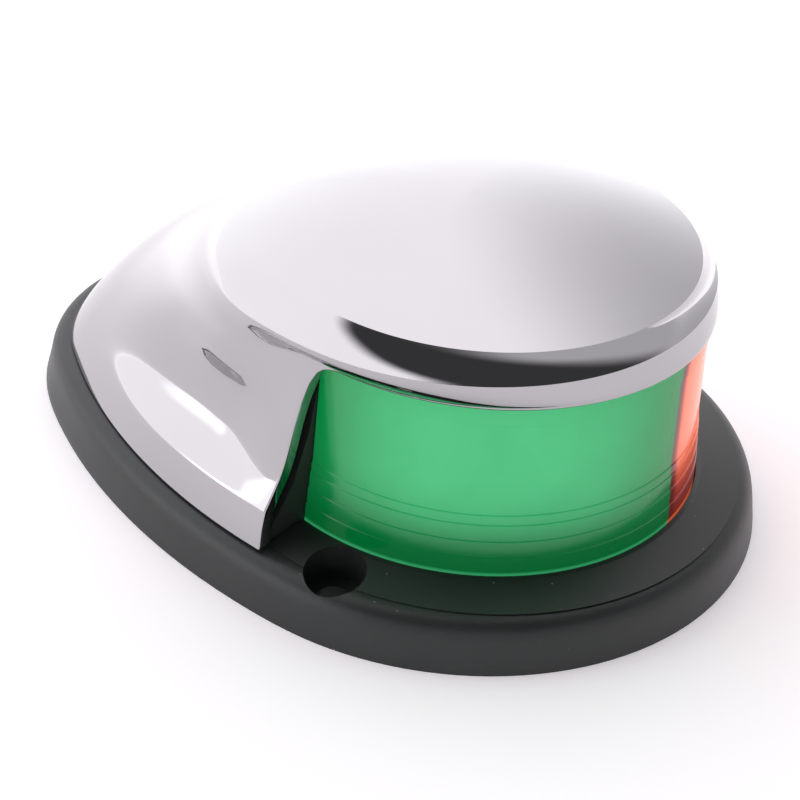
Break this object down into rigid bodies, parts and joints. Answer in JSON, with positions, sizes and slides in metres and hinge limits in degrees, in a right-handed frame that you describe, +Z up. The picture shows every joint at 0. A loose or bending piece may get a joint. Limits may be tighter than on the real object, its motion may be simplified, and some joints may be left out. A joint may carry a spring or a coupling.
{
  "type": "navigation light",
  "caption": "Deck-mount two-colour bow navigation light: egg-shaped black base, green and red lenses round the front, polished domed cover over a festoon lamp.",
  "frame": {"origin": "middle of the length and width, on the deck under the base", "axes": "+X towards the bow, along the length; +Y to port; +Z up from the deck"},
  "size_m": [0.12, 0.0904, 0.0487],
  "materials": {
    "base": "moulded, fine texture, satin",
    "foam_rubber": "closed-cell foam, dull",
    "cover": "mirror polished chrome plate",
    "green_lens": "coloured clear acrylic, gloss",
    "red_lens": "coloured clear acrylic, gloss",
    "seal_rubber": "dull",
    "brass": "bright, lightly tarnished",
    "bulb_glass": "clear",
    "bulb_cap": "nickel plated",
    "filament": "glowing tungsten",
    "lead_wire": "bright wire",
    "stainless": "bright stainless"
  },
  "bodies": {
    "base": {"base_moulding": "base", "deck_gasket": "foam_rubber", "green_lens": "green_lens", "red_lens": "red_lens", "lens_foot_seal": "seal_rubber", "cover_seal": "seal_rubber", "contact_front": "brass", "contact_rear": "brass", "terminal_front": "brass", "terminal_rear": "brass", "rivet_front": "brass", "rivet_rear": "brass"},
    "cover": {"top_cover": "cover"},
    "lamp": {"bulb_glass": "bulb_glass", "bulb_cap_front": "bulb_cap", "bulb_cap_rear": "bulb_cap", "bulb_filament": "filament", "bulb_supports": "lead_wire"},
    "screw_rear": {"cover_screw_rear": "stainless", "screw_washer_rear": "stainless"},
    "screw_port": {"cover_screw_port": "stainless", "screw_washer_port": "stainless"},
    "screw_starboard": {"cover_screw_starboard": "stainless", "screw_washer_starboard": "stainless"}
  },
  "joints": [
    {"name": "cover_lift", "type": "slide", "parent": "base", "child": "cover", "axis": [0, 0, 1], "range_m": [0, 0.06]},
    {"name": "lamp_lift", "type": "slide", "parent": "base", "child": "lamp", "axis": [0, 0, 1], "range_m": [0, 0.008]},
    {"name": "screw_rear_out", "type": "slide", "parent": "base", "child": "screw_rear", "axis": [0, 0, -1], "range_m": [0, 0.0099]},
    {"name": "screw_port_out", "type": "slide", "parent": "base", "child": "screw_port", "axis": [0, 0, -1], "range_m": [0, 0.0099]},
    {"name": "screw_starboard_out", "type": "slide", "parent": "base", "child": "screw_starboard", "axis": [0, 0, -1], "range_m": [0, 0.0099]}
  ]
}
